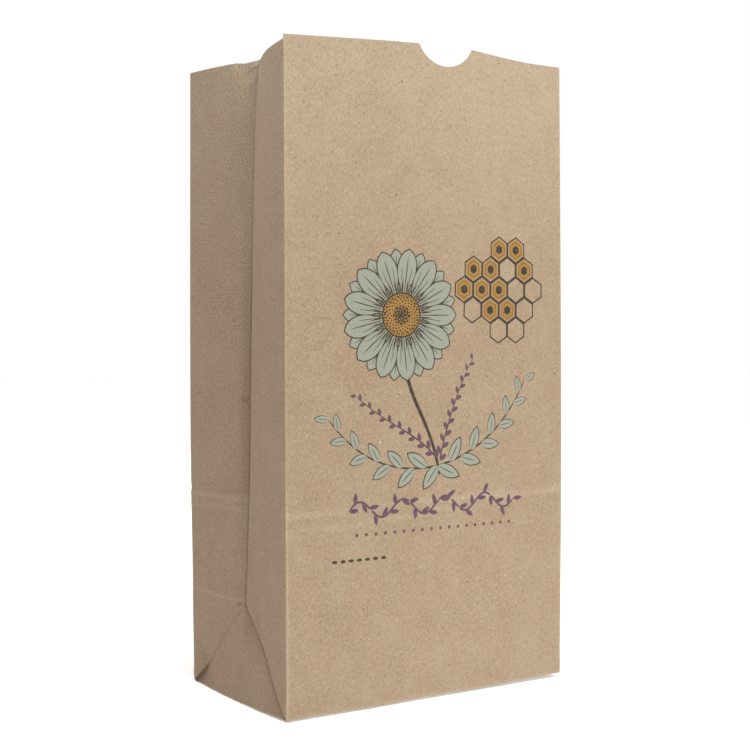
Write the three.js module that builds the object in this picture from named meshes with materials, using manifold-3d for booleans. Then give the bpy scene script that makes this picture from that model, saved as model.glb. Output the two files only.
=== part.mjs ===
// Self-opening kraft paper bag, standing open and empty, as a three.js scene graph.
// Units are millimetres and +Z is up. The bag stands on the plane z = 0 with the
// middle of its footprint at the origin; the front panel, the one with the thumb
// notch, faces -Y. The whole bag is one glued piece of paper, so it is one mesh.
import * as THREE from "three";
import { mergeVertices } from "three/addons/utils/BufferGeometryUtils.js";
import Module from "manifold-3d";

// ---- Driving dimensions --------------------------------------------------------
const WIDTH = 179.4; // across the front and back panels at the base
const BASE_DEPTH = 108; // footprint, front to back
const BELLY_DEPTH = 112.4; // front to back at mid height
const MOUTH_DEPTH = 110.4; // front to back at the mouth
const HEIGHT = 349.25; // to the cut edge of the front panel
const LIP = 2.2; // the front panel is cut this much longer than the other three
const PAPER = 0.2; // one sheet

const NOTCH_WIDTH = 34; // thumb notch in the middle of the front panel's edge
const NOTCH_DEPTH = 10.5;

const MOUTH_BOW = 15.8; // how far the front panel's edge bows out at the mouth
const BACK_BOW = 8; // the same for the back panel
const BOW_POWER = 2.3; // the bows fade from mouth to base with this power of height

const SEAM_WIDTH = 22; // lengthwise glued overlap down the back panel
const SEAM_CENTRE = 34; // its middle, to the right of the centre line
const FLAP_OVERLAP = 13; // base flaps reach this far past the centre line
const BASE_BULGE = 1.6; // side edges of the base bulge out by this
const BACK_CREASE = 1.8; // the back panel is pulled in by this at the fold line
const SIDE_RIDGE = 1.0; // the gussets' back halves stand out by this at the fold line
const LEAF_BOW = 0.6; // each half of a gusset bows outwards by at least this
const MOUTH_LEAF_BOW = 1.5; // and by this much more at the mouth

// The flat bag is folded at half the depth of its base.
const FOLD_HEIGHT = BASE_DEPTH / 2;
const KRAFT = 0xc3aa88;

// ---- Profiles: rows of [where, value], joined by a smooth curve -------------------
const HALF_WIDTH = [
  [0, WIDTH / 2],
  [0.4 * HEIGHT, WIDTH / 2 + 0.2],
  [HEIGHT, WIDTH / 2 - 0.3],
];
// The walls sway a little to the left between base and mouth.
const SWAY = [
  [0, -0.4],
  [0.35 * HEIGHT, -1],
  [HEIGHT, 0],
];
const DEPTH = [
  [0, BASE_DEPTH],
  [0.3 * HEIGHT, BELLY_DEPTH],
  [0.6 * HEIGHT, BELLY_DEPTH],
  [HEIGHT, MOUTH_DEPTH],
];
// How far the gusset's middle crease stands in, from the fold's apex to the mouth.
const CREASE_INSET = [
  [FOLD_HEIGHT, 4.2],
  [0.25 * HEIGHT, 6.1],
  [0.36 * HEIGHT, 7.8],
  [0.73 * HEIGHT, 10.2],
  [0.9 * HEIGHT, 12],
  [0.975 * HEIGHT, 13.9],
  [HEIGHT, 15.6],
];
// The front panel's bow across the mouth, left fold to right fold, as a share of
// MOUTH_BOW. It rises evenly from the left and lies flat again near the right fold.
const FRONT_WAVE = [
  [0, 0],
  [0.22, 0.56],
  [0.34, 0.85],
  [0.5, 1],
  [0.59, 0.93],
  [0.69, 0.61],
  [0.78, 0.31],
  [0.87, 0.09],
  [1, 0],
];
const BACK_WAVE = [
  [0, 0],
  [0.3, 0.7],
  [0.55, 1],
  [0.8, 0.5],
  [1, 0],
];

// ---- Mesh density ----------------------------------------------------------------
const FOLD_ROWS = 6; // rows of cells below the fold line, and cells in half a gusset
const WALL_ROWS = 20; // rows of cells from the fold line to the mouth
const PANEL_CELLS = 18; // cells across the front and back panels
const NOTCH_SEGMENTS = 96; // sides of the full circle that cuts the notch
const CROWDING = 0.25; // how much closer the rows draw towards the mouth
const COLUMN_GAP = 0.4; // least share of a cell between an even column and a seam's edge

/** The smooth curve through rows of [where, value], read at one place. */
function along(rows, where) {
  const last = rows.length - 1;
  if (where <= rows[0][0]) return rows[0][1];
  if (where >= rows[last][0]) return rows[last][1];
  const slope = (k) => {
    const [before, after] = [rows[Math.max(k - 1, 0)], rows[Math.min(k + 1, last)]];
    return (after[1] - before[1]) / (after[0] - before[0]);
  };
  const i = rows.findIndex(([place]) => place > where) - 1;
  const span = rows[i + 1][0] - rows[i][0];
  const s = (where - rows[i][0]) / span;
  const r = 1 - s;
  return (
    r * r * (1 + 2 * s) * rows[i][1] +
    r * r * s * span * slope(i) +
    s * s * (3 - 2 * s) * rows[i + 1][1] -
    s * s * r * span * slope(i + 1)
  );
}

/** A crease that is deepest at its own height and fades over the fold height. */
const tent = (z) => Math.max(0, 1 - Math.abs(z - FOLD_HEIGHT) / FOLD_HEIGHT);

// ---- The four panels, each from one fold to the next --------------------------------
/** Front panel, share 0 at the left fold to 1 at the right. */
function frontPoint(share, z) {
  const x = along(SWAY, z) + along(HALF_WIDTH, z) * (2 * share - 1);
  const bow = MOUTH_BOW * Math.pow(z / HEIGHT, BOW_POWER) * along(FRONT_WAVE, share);
  return [x, -along(DEPTH, z) / 2 - bow];
}

/** Back panel, share 0 at the right fold to 1 at the left. */
function backPoint(share, z) {
  const x = along(SWAY, z) + along(HALF_WIDTH, z) * (1 - 2 * share);
  const bow = BACK_BOW * Math.pow(z / HEIGHT, BOW_POWER) * along(BACK_WAVE, share);
  const crease = BACK_CREASE * tent(z) * Math.min(1, 8 * share * (1 - share));
  return [x, along(DEPTH, z) / 2 + bow - crease];
}

/**
 * How far half a gusset stands in at a share of the way from its fold (0) to the
 * middle crease (1). Above the fold line it is one leaf, bowed outwards a little.
 * Below it a diagonal crease parts the leaf from the upright triangle of the base.
 */
function gussetInset(share, z, isBack) {
  if (z >= FOLD_HEIGHT) {
    const bow = LEAF_BOW + MOUTH_LEAF_BOW * Math.pow(z / HEIGHT, 2);
    const ridge = isBack ? SIDE_RIDGE * tent(z) : 0;
    return along(CREASE_INSET, z) * share - (bow + ridge) * Math.sin(Math.PI * share);
  }
  const rise = z / FOLD_HEIGHT;
  const apex = CREASE_INSET[0][1];
  const ridge = (LEAF_BOW + (isBack ? SIDE_RIDGE : 0)) * rise;
  const leaf = (s) => apex * s - ridge * Math.sin(Math.PI * s);
  if (share <= rise) return leaf(share);
  const middle = apex * rise - BASE_BULGE * (1 - rise);
  const towards = (share - rise) / (1 - rise);
  const edge = leaf(rise);
  return edge + (middle - edge) * Math.sin((Math.PI / 2) * towards);
}

/** A gusset point; side is -1 for the left gusset and 1 for the right one. */
function gussetPoint(side, share, z, isBack) {
  const half = along(HALF_WIDTH, z) - gussetInset(share, z, isBack);
  const y = (along(DEPTH, z) / 2) * (1 - share) * (isBack ? 1 : -1);
  return [along(SWAY, z) + side * half, y];
}

// ---- The wall as a grid of rows and columns ------------------------------------------
/** Shares of the back panel's columns; a pair of close columns makes each seam step. */
function backShares() {
  const even = Array.from({ length: PANEL_CELLS + 1 }, (_, i) => i / PANEL_CELLS);
  const step = PAPER / 2 / WIDTH;
  const edges = [-1, 1].map((end) => 0.5 - (SEAM_CENTRE + (end * SEAM_WIDTH) / 2) / WIDTH);
  const clear = even.filter((s) => edges.every((e) => Math.abs(s - e) > COLUMN_GAP / PANEL_CELLS));
  const pairs = edges.flatMap((e) => [e - step, e + step]);
  return [...clear, ...pairs].sort((a, b) => a - b);
}

/** One column per fold-to-fold position: where it is, and how its cells are split. */
function wallColumns() {
  const halfGusset = Array.from({ length: FOLD_ROWS }, (_, i) => i / FOLD_ROWS);
  const seam = (share) => Math.abs(WIDTH * (0.5 - share) - SEAM_CENTRE) < SEAM_WIDTH / 2;
  const front = Array.from({ length: PANEL_CELLS }, (_, i) => ({
    at: (z) => frontPoint(i / PANEL_CELLS, z),
  }));
  const toCrease = (side, isBack) =>
    halfGusset.map((share) => ({ at: (z) => gussetPoint(side, share, z, isBack), rising: true }));
  const fromCrease = (side, isBack) =>
    halfGusset.map((share) => ({ at: (z) => gussetPoint(side, 1 - share, z, isBack) }));
  const back = backShares()
    .slice(0, -1)
    .map((share) => ({ at: (z) => backPoint(share, z), extra: seam(share) ? PAPER : 0 }));
  return [
    ...front,
    ...toCrease(1, false),
    ...fromCrease(1, true),
    ...back,
    ...toCrease(-1, true),
    ...fromCrease(-1, false),
  ];
}

/** Row heights: the fold's rows are even, and rows draw closer towards the mouth. */
function rowHeights() {
  const below = Array.from({ length: FOLD_ROWS }, (_, i) => (FOLD_HEIGHT * i) / FOLD_ROWS);
  const above = Array.from({ length: WALL_ROWS + 1 }, (_, i) => {
    const share = i / WALL_ROWS;
    return FOLD_HEIGHT + (HEIGHT - FOLD_HEIGHT) * (share + CROWDING * share * (1 - share));
  });
  return [...below, ...above];
}

/** A row of points moved sideways by its own distance each, outwards if positive. */
function offsetRow(row, distances) {
  return row.map(([x, y], i) => {
    const before = row[(i + row.length - 1) % row.length];
    const after = row[(i + 1) % row.length];
    const a = new THREE.Vector2(y - before[1], before[0] - x).normalize();
    const b = new THREE.Vector2(after[1] - y, x - after[0]).normalize();
    const mitre = a.clone().add(b).normalize();
    const reach = distances[i] / Math.max(0.5, mitre.dot(b));
    return [x + mitre.x * reach, y + mitre.y * reach];
  });
}

/** The wall: an outer and an inner grid, closed by a band at the mouth and one at the foot. */
function wallGeometry(columns, heights) {
  const count = columns.length;
  const outer = heights.map((z) => {
    const row = columns.map((column) => column.at(z));
    return offsetRow(row, columns.map((column) => column.extra ?? 0));
  });
  const inner = heights.map((z) => {
    const row = columns.map((column) => column.at(z));
    return offsetRow(row, columns.map(() => -PAPER));
  });
  const positions = [...outer, ...inner].flatMap((row, i) =>
    row.flatMap(([x, y]) => [x, y, heights[i % heights.length]]),
  );
  const index = [];
  const cell = (a, b, c, d, rising) =>
    index.push(...(rising ? [a, b, c, a, c, d] : [a, b, d, b, c, d]));
  const innerStart = heights.length * count;
  for (let i = 0; i < count; i++) {
    const next = (i + 1) % count;
    for (let row = 0; row < heights.length - 1; row++) {
      const [low, high] = [row * count, (row + 1) * count];
      const rising = Boolean(columns[i].rising);
      cell(low + i, low + next, high + next, high + i, rising);
      const [lowIn, highIn] = [innerStart + low, innerStart + high];
      cell(lowIn + next, lowIn + i, highIn + i, highIn + next, !rising);
    }
    const top = (heights.length - 1) * count;
    cell(top + i, top + next, innerStart + top + next, innerStart + top + i, true);
    cell(innerStart + i, innerStart + next, next, i, true);
  }
  return new THREE.BufferGeometry()
    .setAttribute("position", new THREE.Float32BufferAttribute(positions, 3))
    .setIndex(index);
}

// ---- Base flaps and cuts ---------------------------------------------------------------
/** A flat plate of an outline of [x, y] points between two heights. */
function plateGeometry(outline, low, high) {
  const shape = new THREE.Shape(outline.map(([x, y]) => new THREE.Vector2(x, y)));
  const plate = new THREE.ExtrudeGeometry(shape, { depth: high - low, bevelEnabled: false });
  return plate.translate(0, 0, low);
}

/** One of the two long flaps of the base; side is -1 for the front one, 1 for the back. */
function longFlapOutline(side) {
  const [half, deep] = [WIDTH / 2 - PAPER / 2, BASE_DEPTH / 2 - PAPER / 2];
  const tip = half - deep - FLAP_OVERLAP; // its side edges run in at 45 degrees
  const middle = along(SWAY, 0);
  return [
    [middle - side * half, side * deep],
    [middle - side * tip, -side * FLAP_OVERLAP],
    [middle + side * tip, -side * FLAP_OVERLAP],
    [middle + side * half, side * deep],
  ];
}

function boxGeometry([x0, y0, z0], [x1, y1, z1]) {
  return new THREE.BoxGeometry(x1 - x0, y1 - y0, z1 - z0).translate(
    (x0 + x1) / 2,
    (y0 + y1) / 2,
    (z0 + z1) / 2,
  );
}

/** The circle that cuts the thumb notch, from its width and depth. */
function notchGeometry() {
  const radius = ((NOTCH_WIDTH / 2) ** 2 + NOTCH_DEPTH ** 2) / (2 * NOTCH_DEPTH);
  const reach = BASE_DEPTH / 2;
  return new THREE.CylinderGeometry(radius, radius, reach, NOTCH_SEGMENTS).translate(
    0,
    -MOUTH_DEPTH / 2 - MOUTH_BOW / 2,
    HEIGHT + radius - NOTCH_DEPTH,
  );
}

// ---- Joining -----------------------------------------------------------------------------
const wasm = await Module();
wasm.setup();

function solid(geometry) {
  const plain = geometry.clone();
  plain.deleteAttribute("normal");
  plain.deleteAttribute("uv");
  const merged = mergeVertices(plain, 1e-4);
  return new wasm.Manifold(
    new wasm.Mesh({
      numProp: 3,
      vertProperties: merged.getAttribute("position").array,
      triVerts: new Uint32Array(merged.index.array),
    }),
  );
}

/**
 * The paper as one solid: wall, end flaps, front flap and back flap, less the cuts.
 * Each flap lies a sheet above the one below and reaches half a sheet into the next.
 */
function paperSolid() {
  const columns = wallColumns();
  const foot = offsetRow(
    columns.map((column) => column.at(0)),
    columns.map(() => -PAPER / 2),
  );
  const endFlaps = solid(plateGeometry(foot, 2 * PAPER, 3 * PAPER));
  const flapTop = 2.5 * PAPER;
  const frontFlap = solid(plateGeometry(longFlapOutline(-1), PAPER, flapTop));
  const backFlap = solid(plateGeometry(longFlapOutline(1), 0, flapTop));
  const flapEnd = WIDTH / 2 - FOLD_HEIGHT - FLAP_OVERLAP;
  const flapReach = BASE_DEPTH / 3;
  const betweenEnds = solid(
    boxGeometry([-flapEnd, -flapReach, flapTop], [flapEnd, flapReach, 10 * PAPER]),
  );
  const shortPanels = solid(
    boxGeometry(
      [-WIDTH, -MOUTH_DEPTH / 2 + 2 * PAPER, HEIGHT - LIP],
      [WIDTH, WIDTH, HEIGHT + LIP],
    ),
  );
  return solid(wallGeometry(columns, rowHeights()))
    .add(endFlaps)
    .add(frontFlap)
    .add(backFlap)
    .subtract(betweenEnds)
    .subtract(shortPanels)
    .subtract(solid(notchGeometry()));
}

function meshOf(joined, name, material) {
  const { vertProperties, triVerts } = joined.getMesh();
  const geometry = new THREE.BufferGeometry()
    .setAttribute("position", new THREE.BufferAttribute(new Float32Array(vertProperties), 3))
    .setIndex(new THREE.BufferAttribute(new Uint32Array(triVerts), 1));
  geometry.computeVertexNormals();
  const mesh = new THREE.Mesh(geometry, material);
  mesh.name = name;
  return mesh;
}

const kraft = new THREE.MeshStandardMaterial({ color: KRAFT, roughness: 0.85, metalness: 0 });
const bag = new THREE.Group();
bag.add(meshOf(paperSolid(), "paper_bag", kraft));

export default bag;
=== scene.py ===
"""Self-opening kraft paper bag, standing open and empty, with its printed front panel.

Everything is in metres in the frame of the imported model: the bag stands on z = 0 with the
middle of its footprint at the origin, and the panel with the thumb notch faces -Y.
"""

import math
from contextlib import contextmanager

import bmesh
import bpy
import numpy as np
from bpy.props import FloatProperty, FloatVectorProperty, PointerProperty
from bpy.types import Operator, Panel, PropertyGroup
from mathutils import Euler, Matrix, Vector, noise


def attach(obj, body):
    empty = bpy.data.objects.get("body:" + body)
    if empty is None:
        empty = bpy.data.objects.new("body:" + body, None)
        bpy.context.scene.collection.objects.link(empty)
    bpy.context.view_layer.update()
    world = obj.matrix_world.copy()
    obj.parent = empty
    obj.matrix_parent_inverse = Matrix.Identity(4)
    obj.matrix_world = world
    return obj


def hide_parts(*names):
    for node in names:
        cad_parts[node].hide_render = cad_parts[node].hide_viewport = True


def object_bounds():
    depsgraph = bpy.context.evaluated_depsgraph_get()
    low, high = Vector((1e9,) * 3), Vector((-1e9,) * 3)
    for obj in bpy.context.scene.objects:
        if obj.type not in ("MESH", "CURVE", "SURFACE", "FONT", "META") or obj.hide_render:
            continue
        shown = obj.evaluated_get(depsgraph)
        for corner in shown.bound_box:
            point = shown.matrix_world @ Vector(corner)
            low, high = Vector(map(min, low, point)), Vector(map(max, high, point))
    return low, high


bl_info = {
    "name": "Kraft paper bag",
    "version": (1, 0, 0),
    "blender": (4, 5, 0),
    "location": "View3D > Sidebar > Paper bag",
    "description": "Builds an open self-opening paper bag with a printed front",
    "category": "Add Mesh",
}

MM = 0.001
SAME = 1e-6  # metres or shares closer than this are the same
NODE, BODY, SLOT = "paper_bag", "root", "kraft_paper"
WHITE = (1, 1, 1)

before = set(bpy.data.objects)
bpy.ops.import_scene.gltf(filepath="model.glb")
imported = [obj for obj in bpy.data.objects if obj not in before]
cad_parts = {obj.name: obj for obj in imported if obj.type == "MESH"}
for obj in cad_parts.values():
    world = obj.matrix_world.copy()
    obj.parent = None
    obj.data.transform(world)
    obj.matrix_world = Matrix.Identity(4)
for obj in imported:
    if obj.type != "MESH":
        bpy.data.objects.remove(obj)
CAD_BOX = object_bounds()
BAG_HEIGHT = CAD_BOX[1].z


# ---- Settings ----
def length(name, description, default):
    """A size in metres."""
    return FloatProperty(
        name=name, description=description, default=default, min=0, unit="LENGTH", precision=5
    )


def colour(name, description, default):
    """A colour in linear light."""
    return FloatVectorProperty(
        name=name, description=description, default=default, subtype="COLOR", size=3, min=0, max=1
    )


class BagShape(PropertyGroup):
    width: length("Width", "Front and back panels at the base", 179.4 * MM)
    base_depth: length("Base depth", "Footprint, front to back", 108 * MM)
    belly_depth: length("Belly depth", "Front to back at mid height", 112.4 * MM)
    mouth_depth: length("Mouth depth", "Front to back at the mouth", 110.4 * MM)
    height: length("Height", "To the front panel's cut edge", BAG_HEIGHT)
    lip: length("Lip", "The other panels are cut this much shorter", 2.2 * MM)
    paper: length("Paper", "Thickness of one sheet", 0.14 * MM)
    notch_width: length("Notch width", "Thumb notch along the front edge", 34 * MM)
    notch_depth: length("Notch depth", "Thumb notch, down from the front edge", 10.5 * MM)
    mouth_bow: length("Mouth bow", "The front edge bows out by this", 15.8 * MM)
    back_bow: length("Back bow", "The back edge bows out by this", 8 * MM)
    seam_width: length("Seam width", "Glued overlap down the back panel", 22 * MM)
    seam_centre: length("Seam centre", "Middle of the seam from the centre line", 34 * MM)
    flap_overlap: length("Flap overlap", "Base flaps reach past the centre line by this", 13 * MM)
    base_bulge: length("Base bulge", "Side edges of the base bulge out by this", 1.6 * MM)
    back_crease: length("Back crease", "Pull-in of the back panel at the fold line", 1.8 * MM)
    side_ridge: length("Side ridge", "Stand-out of the gussets' back halves there", 1.0 * MM)
    corner_lift: length("Corner lift", "The front right corner is off the table by this", 2.1 * MM)


class PaperLook(PropertyGroup):
    kraft: colour("Kraft", "Main paper colour", (0.304, 0.210, 0.130))
    # Pale: lighter mottling, also laid on as painted light towards the mouth and the foot.
    pale: colour("Pale fibres", "Lighter mottling", (0.438, 0.349, 0.238))
    olive: colour("Olive patches", "Faint greener patches", (0.296, 0.222, 0.134))
    straw: colour("Straw fibres", "Fine light grain", (0.490, 0.400, 0.258))
    dark: colour("Dark fibres", "Fine dark grain and darker mottling", (0.180, 0.114, 0.073))
    speck: colour("Specks", "Bark specks in the paper", (0.070, 0.042, 0.028))
    chip: colour("Chips", "Single near-white chips in the paper", (0.800, 0.720, 0.600))
    # Fold: the pale of rubbed fold edges, also laid on as painted highlights.
    fold: colour("Fold wear", "Rubbed edges of the folds", (0.560, 0.460, 0.340))
    # Crease: painted shade, laid into the creases, the diagonal tucks and beside the seam's edge,
    # and a few dark specks.
    crease: colour("Crease", "Dark lines in the creases", (0.120, 0.072, 0.042))


class Inks(PropertyGroup):
    charcoal: colour("Charcoal", "Ink of the outlines", (0.019, 0.016, 0.012))
    amber: colour("Amber", "Ink of the comb and the blossom's middle", (0.320, 0.170, 0.034))
    sage: colour("Sage", "Ink of the petals and leaves", (0.268, 0.290, 0.228))
    purple: colour("Purple", "Ink of the buds and the border", (0.100, 0.042, 0.078))


class StudioLook(PropertyGroup):
    floor: colour("Floor", "Pale studio floor", (0.95, 0.95, 0.95))
    floor_glow: FloatProperty(name="Floor glow", description="Glow of the floor", default=0.33)
    focal_length: FloatProperty(name="Focal length", description="Camera lens in mm", default=67.99)
    sky: FloatProperty(name="Sky", description="Strength of the white surround", default=0.02)


# ---- Small maths ----
def along(rows, where):
    """The smooth curve through rows of (place, value), read at an array of places."""
    places, values = np.array(rows, float).T
    steps = np.arange(len(places))
    before, after = np.maximum(steps - 1, 0), np.minimum(steps + 1, len(places) - 1)
    slopes = (values[after] - values[before]) / (places[after] - places[before])
    i = np.clip(np.searchsorted(places, where, side="right") - 1, 0, len(places) - 2)
    span = places[i + 1] - places[i]
    s = np.clip((where - places[i]) / span, 0, 1)
    r = 1 - s
    start = r * r * ((1 + 2 * s) * values[i] + s * span * slopes[i])
    end = s * s * ((3 - 2 * s) * values[i + 1] - r * span * slopes[i + 1])
    return start + end


def smooth_step(low, high, value):
    """0 below low, 1 above high, smooth between."""
    s = np.clip((value - low) / (high - low), 0, 1)
    return s * s * (3 - 2 * s)


def bump(value, centre, width):
    """A smooth bump of height 1 at centre that fades over width."""
    return np.exp(-(((value - centre) / width) ** 2))


def ripple(u, v, scale, seed):
    """Smooth noise from about -1 to 1 over two arrays of metres, at a wavelength of scale."""
    flat = zip(np.ravel(u) / scale, np.ravel(v) / scale)
    return np.array([noise.noise(Vector((a, b, seed))) for a, b in flat]).reshape(np.shape(u))


# ---- The bag's form ----
FRONT, RIGHT_FRONT, RIGHT_BACK, BACK, LEFT_BACK, LEFT_FRONT = PANELS = range(6)

# Curves up the bag, as rows of (share of the height, millimetres): what is added to half the
# width, how far the middle sways sideways, and how far the gussets' creases stand in.
WIDTH_MORE = ((0, 0), (0.4, 0.2), (1, -0.3))
SWAY = ((0, -0.4), (0.35, -1), (1, 0))
CREASE_INSET = ((0.25, 7.0), (0.36, 8.6), (0.73, 11.0), (0.9, 12.8), (0.975, 14.6), (1, 16.3))
APEX_INSET = 5.2 * MM  # the crease's inset where it starts, at the apex of the base's triangle

# Curves across the mouth, as rows of (share of the width, share of the bow).
FRONT_WAVE = (
    *((0, 0), (0.22, 0.56), (0.34, 0.85), (0.5, 1), (0.59, 0.93)),
    *((0.69, 0.61), (0.78, 0.31), (0.87, 0.09), (1, 0)),
)
BACK_WAVE = ((0, 0), (0.3, 0.7), (0.55, 1), (0.8, 0.5), (1, 0))
BOW_POWER = 2.3  # how late up the bag the wide panels bow out
BELLY = (0.3, 0.6)  # the deepest part of the bag, in shares of the height
LEAF_BOW = 0.6 * MM  # how far a half gusset bows out of its plane, at the foot
MOUTH_LEAF_BOW = 1.5 * MM  # what the mouth adds to it


class Form:
    """The panels as functions of a share across and a height, as in the solid model."""

    def __init__(self, shape):
        self.shape = shape
        self.fold = shape.base_depth / 2  # the fold line's height, and half a gusset's width
        metres = (shape.height, MM)
        self.half_width = np.array(WIDTH_MORE) * metres + (0, shape.width / 2)
        self.sway = np.array(SWAY) * metres
        self.crease_inset = np.vstack([(self.fold, APEX_INSET), np.array(CREASE_INSET) * metres])
        self.depth = [
            (0, shape.base_depth),
            (BELLY[0] * shape.height, shape.belly_depth),
            (BELLY[1] * shape.height, shape.belly_depth),
            (shape.height, shape.mouth_depth),
        ]

    def tent(self, z):
        """1 at the fold line, falling to 0 at the table and at twice its height."""
        return np.maximum(0, 1 - np.abs(z - self.fold) / self.fold)

    def bow(self, depth, wave, share, z):
        """How far a wide panel bows out, where its edge at the mouth bows out by depth."""
        return depth * (np.maximum(z, 0) / self.shape.height) ** BOW_POWER * along(wave, share)

    def front(self, share, z):
        x = along(self.sway, z) + along(self.half_width, z) * (2 * share - 1)
        return x, -along(self.depth, z) / 2 - self.bow(self.shape.mouth_bow, FRONT_WAVE, share, z)

    def back(self, share, z):
        x = along(self.sway, z) + along(self.half_width, z) * (1 - 2 * share)
        crease = self.shape.back_crease * self.tent(z) * np.minimum(1, 8 * share * (1 - share))
        bow = self.bow(self.shape.back_bow, BACK_WAVE, share, z)
        return x, along(self.depth, z) / 2 + bow - crease

    def gusset_inset(self, share, z, ridge_out):
        """How far half a gusset stands in, from its fold (share 0) to the middle crease (1)."""
        arch = np.sin(np.pi * share)
        bow = (LEAF_BOW + MOUTH_LEAF_BOW * (z / self.shape.height) ** 2) * arch
        above = along(self.crease_inset, z) * share - bow - ridge_out * self.tent(z) * arch

        rise = np.clip(z / self.fold, 0, 1)
        ridge = (LEAF_BOW + ridge_out) * rise
        leaf = APEX_INSET * share - ridge * arch
        edge = APEX_INSET * rise - ridge * np.sin(np.pi * rise)
        middle = APEX_INSET * rise - self.shape.base_bulge * (1 - rise)
        towards = np.clip((share - rise) / np.maximum(1 - rise, SAME), 0, 1)
        triangle = edge + (middle - edge) * np.sin(np.pi / 2 * towards)
        return np.where(z >= self.fold, above, np.where(share <= rise, leaf, triangle))

    def place(self, panel, share, z):
        """X and Y on a panel, at a share across it and a height."""
        if panel == FRONT:
            return self.front(share, z)
        if panel == BACK:
            return self.back(share, z)
        side = 1 if panel in (RIGHT_FRONT, RIGHT_BACK) else -1
        is_back = panel in (RIGHT_BACK, LEFT_BACK)
        inset = self.gusset_inset(share, z, self.shape.side_ridge if is_back else 0.0)
        y = along(self.depth, z) / 2 * (1 - share) * (1 if is_back else -1)
        return along(self.sway, z) + side * (along(self.half_width, z) - inset), y


# ---- The columns and rows of the sheet's grid ----
CELL = 2.6 * MM  # size of the grid's cells
FOLD_CELLS = 24  # cells across half a gusset, and rows below the fold line
NOTCH_CELLS = 44  # along the notch's arc
NEAR_CREASE = np.array([0.010, 0.028])  # extra lines beside a crease, in shares of half a gusset
NEAR_EDGE = np.array([0.55, 1.5]) * MM  # and beside a wide panel's folds
NEAR_FOLD_LINE = np.array([0.5, 1.5]) * MM  # and above the fold line
NEAR_SEAM = np.array([-0.5, -0.05, 0.05, 0.5]) * MM  # and round the seam's edges
SEAM_ROOM = 0.6 * MM  # even lines as close as this to the seam's are left out
MOUTH_ZONE = 38 * MM  # rows above this far below the edge bend down to the notch
MOUTH_DENT = (12.0 * MM, 12.4 * MM, 2.2 * MM)  # reach from the crease, reach down, depth
DENT_ROWS = np.arange(-3, 16) * 0.8 * MM  # finer rows, from the dent's lower edge
DENT_ROOM = (0.5 * MM, 0.3 * MM)  # even rows as close as this below and above them are left out


def fold_shares():
    """Shares from fold to crease: even, with extra lines close to both ends."""
    even = np.linspace(0, 1, FOLD_CELLS + 1)
    return np.sort(np.concatenate([even, NEAR_CREASE, 1 - NEAR_CREASE]))


def panel_shares(width, cuts):
    """Shares across a wide panel, with extra lines at its folds and at the given cuts."""
    edge = NEAR_EDGE / width
    even = np.linspace(0, 1, round(width / CELL) + 1)
    keep = [s for s in even if np.all(np.abs(cuts - s) > SEAM_ROOM / width)]
    return np.sort(np.concatenate([keep, edge, 1 - edge, cuts]))


def notch_radius(shape):
    """The radius of the thumb notch's arc."""
    half = shape.notch_width / 2
    return (half**2 + shape.notch_depth**2) / (2 * shape.notch_depth)


def notch_shares(shape):
    """Shares of the front panel: even angles round the notch, even steps elsewhere."""
    half, radius = shape.notch_width / 2, notch_radius(shape)
    reach = math.asin(half / radius)
    arc = 0.5 + radius * np.sin(np.linspace(-reach, reach, NOTCH_CELLS + 1)) / shape.width
    cells = round((shape.width / 2 - half) / CELL)
    left = np.linspace(0, arc[0], cells + 1)[:-1]
    left = np.sort(np.concatenate([left, NEAR_EDGE / shape.width]))
    return np.concatenate([left, arc, 1 - left[::-1]])


def sheet_columns(shape):
    """Arrays of panel and share for each column, counter-clockwise from the front left fold."""
    half = fold_shares()
    seam_ends = 0.5 - (shape.seam_centre + np.array([1, -1]) * shape.seam_width / 2) / shape.width
    cuts = np.add.outer(seam_ends, NEAR_SEAM / shape.width).ravel()
    back = panel_shares(shape.width, cuts)
    runs = [run[:-1] for run in (notch_shares(shape), half, half[::-1], back, half, half[::-1])]
    return np.repeat(PANELS, [len(run) for run in runs]), np.concatenate(runs)


def sheet_rows(form):
    """Heights of the rows, up to the short panels' edge; one more row makes the front's lip."""
    top = form.shape.height - form.shape.lip
    above = np.linspace(form.fold, top, round((top - form.fold) / CELL) + 1)[1:]
    fine = top - MOUTH_DENT[1] + DENT_ROWS
    above = above[(above < fine[0] - DENT_ROOM[0]) | (above > fine[-1] + DENT_ROOM[1])]
    low = [form.fold * fold_shares(), form.fold + NEAR_FOLD_LINE]
    return np.sort(np.concatenate([*low, above, fine, [form.shape.height]]))


def mouth_heights(shape, panels, shares, rows):
    """The grid's heights: rows of the front panel bend down round the thumb notch."""
    z = np.repeat(rows[:, None], len(shares), axis=1)
    radius = notch_radius(shape)
    x = (shares - 0.5) * shape.width
    inside = (panels == FRONT) & (np.abs(x) < shape.notch_width / 2 - SAME)
    centre = shape.height + radius - shape.notch_depth
    edge = np.where(inside, centre - np.sqrt(np.maximum(radius**2 - x**2, 0)), shape.height)
    start = shape.height - MOUTH_ZONE
    share = np.clip((z - start) / MOUTH_ZONE, 0, None)
    return np.where(z > start, start + share * (edge - start), z)


def grid_faces(rows, columns, split):
    """Quads of a closed grid; split says which columns' cells rise to the next column."""
    faces = []
    for row in range(rows - 1):
        low, high = row * columns, (row + 1) * columns
        for i in range(columns):
            j = (i + 1) % columns
            a, b, c, d = low + i, low + j, high + j, high + i
            if split[i] > 0:
                faces += [(a, b, c), (a, c, d)]
            elif split[i] < 0:
                faces += [(a, b, d), (b, c, d)]
            else:
                faces.append((a, b, c, d))
    return faces


# ---- The folds, marks, wear, painted highlights and painted shade of the sheet ----
# The paper's cockling: height and wavelength in millimetres, and seed.
COCKLING = ((0.50, 75, 3.1), (0.20, 31, 8.7), (0.06, 12, 5.3))

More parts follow.
